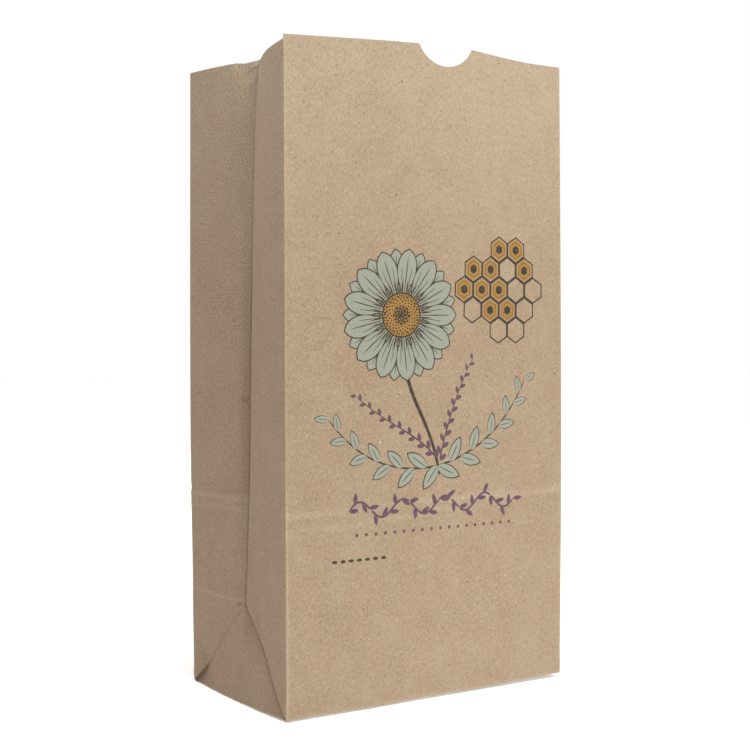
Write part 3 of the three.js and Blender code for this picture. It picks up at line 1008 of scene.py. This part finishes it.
class Tree(Graph):
    """A geometry node tree with named inputs, whose flat shapes are laid on the front panel."""

    def __init__(self, name, inputs):
        super().__init__(bpy.data.node_groups.new(name, "GeometryNodeTree"))
        self.add_socket("Geometry", bpy.types.Mesh)
        for label, default in (inputs | EVERY_TREE).items():
            self.add_socket(label, type(default)).default_value = default
        self.add_socket("Panel", bpy.types.Object)
        self.add_socket("Ink", bpy.types.Material)
        self.add_socket("Geometry", bpy.types.Mesh, "OUTPUT")
        self.entry = self.add("NodeGroupInput").outputs

    def add_socket(self, label, kind, side="INPUT"):
        return self.tree.interface.new_socket(label, in_out=side, socket_type=SOCKETS[kind])

    def value(self, label):
        return Field(self, self.entry[label])

    def vector(self, x, y, z=0.0):
        return self.node("ShaderNodeCombineXYZ", {0: x, 1: y, 2: z})

    def round(self, angle, reach):
        """The place at an angle and a distance from the middle."""
        return self.vector(self.maths("COSINE", angle) * reach, self.maths("SINE", angle) * reach)

    def position(self):
        return self.split(self.node("GeometryNodeInputPosition", {}))

    def index(self):
        return self.number("GeometryNodeInputIndex", {})

    def curve(self):
        return self.node("GeometryNodeMeshToCurve", {"Mesh": self.entry["Geometry"]})

    def bent_grid(self, columns, rows, to):
        """A grid of points a metre square, each moved to its place by to and then welded."""
        cells = {"Size X": 1.0, "Size Y": 1.0, "Vertices X": columns, "Vertices Y": rows}
        moved = {"Geometry": self.node("GeometryNodeMeshGrid", cells), "Position": to}
        shape = self.node("GeometryNodeSetPosition", moved)
        return self.node("GeometryNodeMergeByDistance", {"Geometry": shape, "Distance": WELD})

    def blade(self):
        """A flat leaf along +X from the tree's inputs: a disc at a fullness of a half."""
        x, y, _ = self.position()
        place_along = x + 0.5
        share = place_along ** self.value("Belly")
        profile = ((1 - share) * share * 4) ** self.value("Fullness")
        across = y * profile * self.value("Width") + place_along * place_along * self.value("Bend")
        to = self.vector(place_along * self.value("Length"), across)
        return self.bent_grid(self.value("Cells"), BLADE_ROWS, to)

    def repeat(self, points, instance, turn, scale, picked=True):
        rotation = self.node("FunctionNodeEulerToRotation", {"Euler": self.vector(0.0, 0.0, turn)})
        inputs = {"Points": points, "Instance": instance, "Rotation": rotation, "Scale": scale}
        return self.node("GeometryNodeInstanceOnPoints", inputs | {"Selection": picked})

    def lay(self, shapes):
        """Lays the flat shapes on the panel round Centre, Lift off its surface, and inks them."""
        real = self.node("GeometryNodeRealizeInstances", {"Geometry": shapes})
        x, y, _ = self.position()
        centre_x, _, centre_z = self.split(self.entry["Centre"])
        rays = {
            "Target Geometry": self.node(
                "GeometryNodeObjectInfo", {"Object": self.entry["Panel"]}, "Geometry"
            ),
            "Source Position": self.vector(x + centre_x, RAY_FROM, y + centre_z),
            "Ray Direction": (0, 1, 0),
            "Ray Length": RAY_LENGTH,
        }
        hit = self.fill(self.add("GeometryNodeRaycast"), rays)
        lifted = {0: hit["Hit Normal"], 1: self.entry["Lift"], 2: hit["Hit Position"]}
        to = self.node("ShaderNodeVectorMath", lifted, operation="MULTIPLY_ADD")
        laid = self.node("GeometryNodeSetPosition", {"Geometry": real, "Position": to})
        ink = {"Geometry": laid, "Material": self.entry["Ink"]}
        inked = self.node("GeometryNodeSetMaterial", ink)
        self.put(inked, self.add("NodeGroupOutput").inputs[0])
        return self.tree


def whorl_tree():
    """Blades in a ring (power 0) or on a sunflower's spiral (power 0.5)."""
    places = {"Count": 12, "Radius": 0.01, "Power": 0.0, "Step": 0.5, "Turn": 0.0, "Shrink": 0.0}
    tree = Tree("whorl", places | BLADE)
    share = (tree.index() + 0.5) / tree.value("Count")
    reach = share ** tree.value("Power") * tree.value("Radius")
    turn = tree.index() * tree.value("Step") + tree.value("Turn")
    places = {"Count": tree.value("Count"), "Position": tree.round(turn, reach)}
    points = tree.node("GeometryNodePoints", places)
    scale = 1 - share * tree.value("Shrink")
    return tree.lay(tree.repeat(points, tree.blade(), turn, scale))


def spray_tree():
    """Blades in turn on both sides of each line of the piece's mesh."""
    tree = Tree("spray", {"Count": 10, "Spread": 0.8, "Shrink": 0.4} | BLADE)
    along_line = tree.fill(
        tree.add("GeometryNodeCurveToPoints", mode="COUNT"),
        {"Curve": tree.curve(), "Count": tree.value("Count")},
    )
    tangent_x, tangent_y, _ = tree.split(along_line["Tangent"])
    side = tree.index() % 2 * 2 - 1
    turn = tree.maths("ARCTAN2", tangent_y, tangent_x) + side * tree.value("Spread")
    share = tree.index() % tree.value("Count") / tree.value("Count")
    scale = 1 - share * tree.value("Shrink")
    return tree.lay(tree.repeat(along_line["Points"], tree.blade(), turn, scale))


def ribbon_tree():
    """A line of ink along each line of the piece's mesh, with tapered ends."""
    tree = Tree("ribbon", {"Width": 0.001, "Taper": 0.3})
    steps = {"Curve": tree.curve(), "Length": RIBBON_STEP}
    even = tree.node("GeometryNodeResampleCurve", steps, mode="LENGTH")
    flat = tree.node("GeometryNodeSetCurveNormal", {"Curve": even}, mode="Z_UP")
    share = tree.number("GeometryNodeSplineParameter", {}, "Factor")
    ends = tree.maths("MINIMUM", share * (1 - share) * 30 + 0.25, 1.0)
    width = ends * (1 - share * tree.value("Taper")) * tree.value("Width")
    half = {"Start": (-0.5, 0, 0), "End": (0.5, 0, 0)}
    profile = tree.node("GeometryNodeCurvePrimitiveLine", half)
    ribbon = {"Curve": flat, "Profile Curve": profile, "Scale": width}
    return tree.lay(tree.node("GeometryNodeCurveToMesh", ribbon))


def comb_tree():
    """Six-sided cells on a lattice, kept inside a ragged oval; a share of them is drawn."""
    places = {"Columns": 5, "Rows": 5, "Spacing": 0.007, "Cell": 0.006, "Hole": 0.0}
    places |= {"Half width": 0.03, "Half height": 0.03, "Drawn": 1.0, "Seed": 3}
    tree = Tree("comb", places)
    columns, rows, spacing, cell = map(tree.value, ("Columns", "Rows", "Spacing", "Cell"))
    column = tree.index() % columns
    row = tree.maths("FLOOR", tree.index() / columns)
    x = (column + row % 2 * 0.5 - columns * 0.5 + 0.25) * spacing * math.sqrt(3)
    y = (row - rows * 0.5 + 0.5) * spacing * 1.5
    lattice = {"Count": columns * rows, "Position": tree.vector(x, y)}
    points = tree.node("GeometryNodePoints", lattice)
    oval = (x / tree.value("Half width")) ** 2 + (y / tree.value("Half height")) ** 2
    random = tree.number("FunctionNodeRandomValue", {"Seed": tree.value("Seed")}, 1)
    picked = (oval < 1.0) * (random < tree.value("Drawn"))
    # A ring of quads between two hexagons; a hole of 0 closes it into a full cell.
    u, v, _ = tree.position()
    turn = (u + 0.5) * (2 * math.pi)
    corner = (turn % (math.pi / 3)) - math.pi / 6
    edge = tree.maths("DIVIDE", math.cos(math.pi / 6), tree.maths("COSINE", corner))
    reach = edge * (cell - (0.5 - v) * (cell - tree.value("Hole")))
    to = tree.vector(tree.maths("SINE", turn) * reach, tree.maths("COSINE", turn) * reach)
    shape = tree.bent_grid(*COMB_GRID, to)
    return tree.lay(tree.repeat(points, shape, 0.0, (1, 1, 1), picked))


TREES = {"whorl": whorl_tree, "spray": spray_tree, "ribbon": ribbon_tree, "comb": comb_tree}


def bezier(a, b, c, d, steps=24):
    """Points of a cubic curve, in millimetres of the panel."""
    t = np.linspace(0, 1, steps + 1)[:, None]
    r = 1 - t
    a, b, c, d = (np.array(p, float) for p in (a, b, c, d))
    return (r**3 * a + 3 * r * r * t * b + 3 * r * t * t * c + t**3 * d) * MM


def wave(x_from, x_to, z, rise=0, waves=1, steps=120):
    """Points of a sine wave across the panel, in millimetres."""
    x = np.linspace(x_from, x_to, steps + 1)
    y = z + rise * np.sin(2 * np.pi * waves * (x - x_from) / (x_to - x_from))
    return np.stack([x, y], axis=1) * MM


LINES = {
    "stem": [bezier((-19, 176), (-14, 158), (-2, 148), (3, 122))],
    "leaf_sprays": [
        bezier((2, 127), (22, 131), (46, 142), (62, 172)),
        bezier((2, 127), (-20, 124), (-46, 128), (-66, 154)),
    ],
    "bud_sprays": [
        bezier((3, 130), (8, 150), (14, 168), (24, 184)),
        bezier((1, 131), (-12, 146), (-32, 150), (-50, 166)),
    ],
    "vine": [wave(-54, 54, 106, 4.4, 4)],
    "dotted": [wave(-50, 50, 93)],
    "small_row": [wave(-64, -34, 80)],
}


def polylines(lines):
    """A mesh of bare edges along each line."""
    mesh = bpy.data.meshes.new("lines")
    vertices, edges = [], []
    for line in lines:
        first = len(vertices)
        vertices += [(x, y, 0) for x, y in line]
        edges += [(first + i, first + i + 1) for i in range(len(line) - 1)]
    mesh.from_pydata(vertices, edges, [])
    return mesh


def draw(kind, lines, values):
    """One layer of a piece: runs a tree with its inputs set and gives the finished mesh."""
    tree = bpy.data.node_groups.get(kind) or TREES[kind]()
    layer = link_object("layer", polylines(LINES.get(lines, [])))
    modifier = layer.modifiers.new("Draw", "NODES")
    modifier.node_group = tree
    for item in tree.interface.items_tree:
        if item.in_out == "INPUT" and item.name in values:
            modifier[item.identifier] = values[item.name]
    make_plain(layer)
    mesh = layer.data
    bpy.data.objects.remove(layer)
    return mesh


INK_THICKNESS = 0.012 * MM
LIFT = 0.01 * MM  # a layer's lift is counted in these


def add_print(name, ink, layers, context):
    """A printed piece of one ink: its layers are drawn, joined and given the ink's thickness."""
    scene = context.scene
    colours = getattr(scene.bag_inks, ink), scene.bag_paper
    ink = material(f"ink_{ink}", ink_material, *colours)
    common = {"Panel": bpy.data.objects["bag_tube"], "Ink": ink}
    drawn = [draw(kind, lines, values | common) for kind, lines, values in layers]
    mesh = bpy.data.meshes.new(name)
    with edited(mesh, *drawn) as work:
        bmesh.ops.recalc_face_normals(work, faces=work.faces)
        for face in work.faces:
            if face.normal.y > 0:
                face.normal_flip()
    piece = add_piece(name, mesh, ink)
    thicken(piece, INK_THICKNESS)
    shade(piece.data, sharp_degrees=50)
    lay_uv(piece.data, "xz", (scene.bag_shape.width / 2, 0))
    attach(piece, BODY)


def at(centre, lift):
    """Centre on the panel in millimetres, and lift in hundredths of a millimetre."""
    return {"Centre": (centre[0] * MM, 0.0, centre[1] * MM), "Lift": lift * LIFT}


def blade(length, width, fullness=0.8, belly=1.0, bend=0.0, cells=9, grow=0.0):
    """A blade's inputs from millimetres; grow makes it larger all round, for its outline."""
    sizes = {"Length": (length + 2 * grow) * MM, "Width": (width + 2 * grow) * MM}
    return sizes | {"Fullness": fullness, "Belly": belly, "Bend": bend * MM, "Cells": cells}


def ring(centre, count, radius, lift, blade_inputs, turn=0.0):
    """A layer of blades in a ring, its radius in millimetres."""
    places = {"Count": count, "Radius": radius * MM, "Step": 2 * math.pi / count, "Turn": turn}
    return ("whorl", None, places | at(centre, lift) | blade_inputs)


def disc(centre, radius, lift):
    return ring(centre, 1, -radius, lift, blade(2 * radius, 2 * radius, 0.5, cells=25))


# ---- Motifs ----
BLOSSOM = (-23, 208)
COMB = (46, 222)
GOLDEN_ANGLE = math.pi * (3 - math.sqrt(5))
PETALS = 13
HALF_STEP = math.pi / PETALS
# Fine lines on the petals: count, radius, lift, the blade, and the turn from the petals.
PETAL_LINES = (
    (PETALS, 12, 9, (19, 0.55, 0.5), 0),
    (PETALS, 12, 9, (14, 0.38, 0.5), 0.125),
    (PETALS, 12, 9, (14, 0.38, 0.5), -0.125),
    (PETALS, 15, 3.6, (17, 0.5, 0.5), HALF_STEP),
    (5 * PETALS, 11.5, 9, (5.6, 0.5, 0.6), 0),
    (3 * PETALS, 11.5, 9, (8.0, 0.42, 0.6), HALF_STEP / 3),
)


def blossom_layers():
    """The blossom's layers by ink: two rings of petals with veins round a seeded disc."""
    back = (22, 8.4, 0.75, 1.35)
    front = (24.5, 11.0, 0.7, 1.4)
    veins = [
        ring(BLOSSOM, count, radius, lift, blade(*sizes), turn)
        for count, radius, lift, sizes, turn in PETAL_LINES
    ]
    seeds = {"Count": 110, "Radius": 9.6 * MM, "Power": 0.5, "Step": GOLDEN_ANGLE, "Shrink": -0.6}
    seeds |= at(BLOSSOM, 13) | blade(0.75, 0.75, 0.5, cells=7)
    return {
        "charcoal": [
            ring(BLOSSOM, PETALS, 12, 1.5, blade(*back, grow=0.6, cells=15), HALF_STEP),
            ring(BLOSSOM, PETALS, 9.6, 5, blade(*front, grow=0.6, cells=15)),
            *veins,
            disc(BLOSSOM, 12.0, 10),
            disc(BLOSSOM, 5.2, 13),
            ("whorl", None, seeds),
            ring(BLOSSOM, 44, 9.3, 13, blade(2.2, 0.5, 0.6)),
        ],
        "sage": [
            ring(BLOSSOM, PETALS, 12.5, 3, blade(*back, cells=15), HALF_STEP),
            ring(BLOSSOM, PETALS, 10.1, 7, blade(*front, cells=15)),
        ],
        "amber": [
            disc(BLOSSOM, 11.2, 11.5),
            ("whorl", None, seeds | {"Count": 34, "Radius": 4.6 * MM} | at(BLOSSOM, 14.5)),
        ],
    }


def comb_layers():
    """A cluster of comb cells: all are outlined, and most are filled."""
    oval = {"Columns": 5, "Rows": 5, "Spacing": 7.4 * MM}
    oval |= {"Half width": 30 * MM, "Half height": 26 * MM}
    outline = oval | at(COMB, 1.5) | {"Cell": 7.5 * MM, "Hole": 6.55 * MM}
    filled = oval | at(COMB, 1.5) | {"Cell": 6.0 * MM, "Drawn": 0.72, "Seed": 11}
    glint = filled | at(COMB, 3.2) | {"Cell": 4.7 * MM, "Hole": 4.35 * MM}
    core = filled | at(COMB, 3.2) | {"Cell": 2.6 * MM}
    drawn = [("comb", None, layer) for layer in (outline, glint, core)]
    return {"charcoal": drawn, "amber": [("comb", None, filled)]}


def spray(lines, lift, count, spread, shrink, blade_inputs):
    """A layer of blades to both sides of some lines."""
    places = {"Count": count, "Spread": spread, "Shrink": shrink}
    return ("spray", lines, places | blade_inputs | at((0, 0), lift))


def ribbon(lines, lift, width, taper):
    """A layer of ink along some lines, its width in millimetres."""
    return ("ribbon", lines, {"Width": width * MM, "Taper": taper} | at((0, 0), lift))


def spray_layers():
    """Stems with leaves to both sides, and slimmer ones with buds."""
    leaf = (15, 6.4, 0.8, 0.85, 1.2)
    leaves = (11, 0.72, 0.5)
    return {
        "charcoal": [
            ribbon("stem", 1, 2.1, 0.2),
            ribbon("leaf_sprays", 1, 1.15, 0.5),
            ribbon("bud_sprays", 1, 0.8, 0.5),
            spray("leaf_sprays", 2.5, *leaves, blade(*leaf, grow=0.5)),
            spray("leaf_sprays", 6, *leaves, blade(12, 0.5, 0.6, 1, 0.9)),
        ],
        "sage": [spray("leaf_sprays", 4.5, *leaves, blade(*leaf))],
        "purple": [spray("bud_sprays", 2.5, 18, 0.75, 0.35, blade(5.2, 2.7, 0.7, 0.9))],
    }


def border_layers():
    """The border below: a vine with small leaves over a row of dots, and a short row."""
    return {
        "purple": [
            ribbon("vine", 1.5, 1.2, 0.0),
            spray("vine", 3, 27, 0.85, 0.0, blade(6.0, 2.5, 0.8, 0.85, 0.5)),
            spray("dotted", 1.5, 18, 0.0, 0.0, blade(1.9, 1.9, 0.5)),
        ],
        "charcoal": [spray("small_row", 1.5, 7, 0.0, 0.0, blade(3.4, 1.7, 0.7))],
    }


def print_motif(motif, layers, context):
    """Prints a motif's layers as one piece for each ink."""
    for ink, parts in layers.items():
        add_print(f"{motif}_{ink}", ink, parts, context)
    return {"FINISHED"}


# ---- Operators ----
def paper_piece(piece):
    """Attaches a piece of the bag's paper to its body, and hides the CAD node."""
    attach(piece, BODY)
    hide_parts(NODE)
    return {"FINISHED"}


class MakeSheet(Operator):
    """Builds the tube of paper: front, gussets, back and the folds between them"""

    bl_idname = "paper_bag.make_sheet"
    bl_label = "Paper tube"

    def execute(self, context):
        form = Form(context.scene.bag_shape)
        piece = add_piece("bag_tube", sheet_mesh(form), kraft(context.scene))
        thicken(piece, form.shape.paper)
        shade(piece.data, sharp_degrees=40)
        return paper_piece(piece)


class MakeBase(Operator):
    """Builds the flaps that are folded over each other and glued to make the base"""

    bl_idname = "paper_bag.make_base"
    bl_label = "Base flaps"

    def execute(self, context):
        form = Form(context.scene.bag_shape)
        piece = add_piece("bag_base", base_mesh(form), kraft(context.scene))
        shade(piece.data, sharp_degrees=30)
        return paper_piece(piece)


class PrintBlossom(Operator):
    """Prints the blossom on the front panel"""

    bl_idname = "paper_bag.print_blossom"
    bl_label = "Blossom print"

    def execute(self, context):
        return print_motif("blossom", blossom_layers(), context)


class PrintComb(Operator):
    """Prints the cluster of comb cells on the front panel"""

    bl_idname = "paper_bag.print_comb"
    bl_label = "Comb print"

    def execute(self, context):
        return print_motif("comb", comb_layers(), context)


class PrintSprays(Operator):
    """Prints the stems with leaves and buds on the front panel"""

    bl_idname = "paper_bag.print_sprays"
    bl_label = "Spray print"

    def execute(self, context):
        return print_motif("spray", spray_layers(), context)


class PrintBorder(Operator):
    """Prints the vine and the rows of dots below it on the front panel"""

    bl_idname = "paper_bag.print_border"
    bl_label = "Border print"

    def execute(self, context):
        return print_motif("border", border_layers(), context)


class MakeStage(Operator):
    """Builds the pale floor, the surround, the lights and the camera"""

    bl_idname = "paper_bag.make_stage"
    bl_label = "Stage"

    def execute(self, context):
        studio = context.scene.bag_studio
        mesh = bpy.data.meshes.new("floor")
        square = ((-1, -1), (1, -1), (1, 1), (-1, 1))
        corners = [(x * FLOOR_REACH, y * FLOOR_REACH, FLOOR_LEVEL) for x, y in square]
        mesh.from_pydata(corners, [], [(0, 1, 2, 3)])
        floor = add_piece("floor", mesh, floor_material(studio.floor, studio.floor_glow))
        surround(context.scene, studio.sky)
        for settings in LIGHTS:
            add_light(*settings)
        camera(context.scene, studio.focal_length)
        return {"FINISHED"}


# ---- Stage ----
FLOOR_REACH = 6.0
FLOOR_LEVEL = -0.1 * MM
ROSE = (0.98, 0.86, 1.20)
PALE_ROSE = (1.0, 0.94, 0.98)
STRAW_LIGHT = (1.0, 0.92, 0.82)
# Name, kind, strength, size (a sun's in degrees), tint, place, and where it points.
LIGHTS = (
    ("front_sky", "SUN", 1.35, 60, WHITE, (0.35, -0.45, 1.2), (0, 0, 0)),
    ("top_sky", "SUN", 1.03, 80, PALE_ROSE, (0.0, 0.0, 1.2), (0, 0, 0)),
    ("right", "AREA", 6.7, 0.8, WHITE, (1.3, -0.8, 0.45), (0, 0, 0.2)),
    ("mouth_front", "AREA", 3.5, 0.35, WHITE, (-0.10, -0.50, 0.80), (-0.05, 0, 0.3)),
    ("mouth_left", "AREA", 1.5, 0.35, STRAW_LIGHT, (-0.25, 0.50, 0.70), (0, 0, 0.3)),
    ("back_left", "AREA", 2.05, 0.6, ROSE, (-1.1, 1.1, 0.55), (0, 0, 0.2)),
    ("back", "AREA", 5.0, 0.8, WHITE, (0.5, 1.5, 0.6), (0, 0, 0.2)),
    ("low_right", "AREA", 0.07, 0.1, WHITE, (0.22, -0.22, 0.03), (0.06, -0.05, 0.04)),
    ("low_front", "AREA", 0.032, 0.08, WHITE, (0.01, -0.21, 0.045), (0.01, -0.05, 0.0)),
)
# The camera's place, and the way it looks: turned from +Y towards +X, up, and rolled.
CAMERA_PLACE = (-0.43457, -0.68406, 0.19625)
CAMERA_TURN, CAMERA_PITCH, CAMERA_ROLL = map(math.radians, (32.345, -1.516, -0.375))
SENSOR_WIDTH = 36
CLIP = (0.01, 50)  # nearest and farthest that the camera sees


def surround(scene, strength):
    """A white surround: the camera sees it white, and it lights the bag at its strength."""
    world = bpy.data.worlds.new("white_surround")
    world.use_nodes = True
    graph = Graph(world.node_tree)
    background, output = (graph.tree.nodes[name] for name in ("Background", "World Output"))
    lighting = graph.fill(background, {"Color": WHITE, "Strength": strength})[0]
    seen = graph.node("ShaderNodeBackground", {"Color": WHITE})
    by_camera = graph.node("ShaderNodeLightPath", {}, "Is Camera Ray")
    either = graph.node("ShaderNodeMixShader", {0: by_camera, 1: lighting, 2: seen})
    graph.put(either, output.inputs["Surface"])
    scene.world = world
    scene.view_settings.view_transform = "Standard"


def add_light(name, kind, strength, size, tint, place, target):
    light = bpy.data.lights.new(name, kind)
    light.energy, light.color = strength, tint
    if kind == "SUN":
        light.angle = math.radians(size)
    else:
        light.shape, light.size = "DISK", size
    lamp = link_object(name, light)
    lamp.location = place
    lamp.rotation_euler = (Vector(target) - Vector(place)).to_track_quat("-Z", "Y").to_euler()


def camera(scene, focal_length):
    lens = bpy.data.cameras.new("camera")
    lens.lens, lens.sensor_width = focal_length, SENSOR_WIDTH
    lens.clip_start, lens.clip_end = CLIP
    scene.camera = link_object("camera", lens)
    turn = Euler((math.pi / 2 + CAMERA_PITCH, 0, -CAMERA_TURN), "XYZ").to_matrix()
    turn = (turn @ Matrix.Rotation(CAMERA_ROLL, 3, "Z")).to_4x4()
    scene.camera.matrix_world = Matrix.Translation(CAMERA_PLACE) @ turn


# ---- Panel and registration ----
OPERATORS = (MakeSheet, MakeBase, PrintBlossom, PrintComb, PrintSprays, PrintBorder, MakeStage)
GROUPS = {
    "bag_shape": BagShape,
    "bag_paper": PaperLook,
    "bag_inks": Inks,
    "bag_studio": StudioLook,
}


class PaperBagPanel(Panel):
    """Lists the bag's operators in the 3D view's sidebar"""

    bl_idname = "VIEW3D_PT_paper_bag"
    bl_label = "Paper bag"
    bl_space_type = "VIEW_3D"
    bl_region_type = "UI"
    bl_category = "Paper bag"

    def draw(self, context):
        for operator in OPERATORS:
            self.layout.operator(operator.bl_idname)


def register():
    for cls in (*GROUPS.values(), *OPERATORS, PaperBagPanel):
        bpy.utils.register_class(cls)
    for name, group in GROUPS.items():
        setattr(bpy.types.Scene, name, PointerProperty(type=group))


def unregister():
    for name in GROUPS:
        delattr(bpy.types.Scene, name)
    for cls in (PaperBagPanel, *reversed(OPERATORS), *GROUPS.values()):
        bpy.utils.unregister_class(cls)


def main():
    register()
    for operator in OPERATORS:
        group, name = operator.bl_idname.split(".")
        getattr(getattr(bpy.ops, group), name)()


if __name__ == "__main__":
    main()
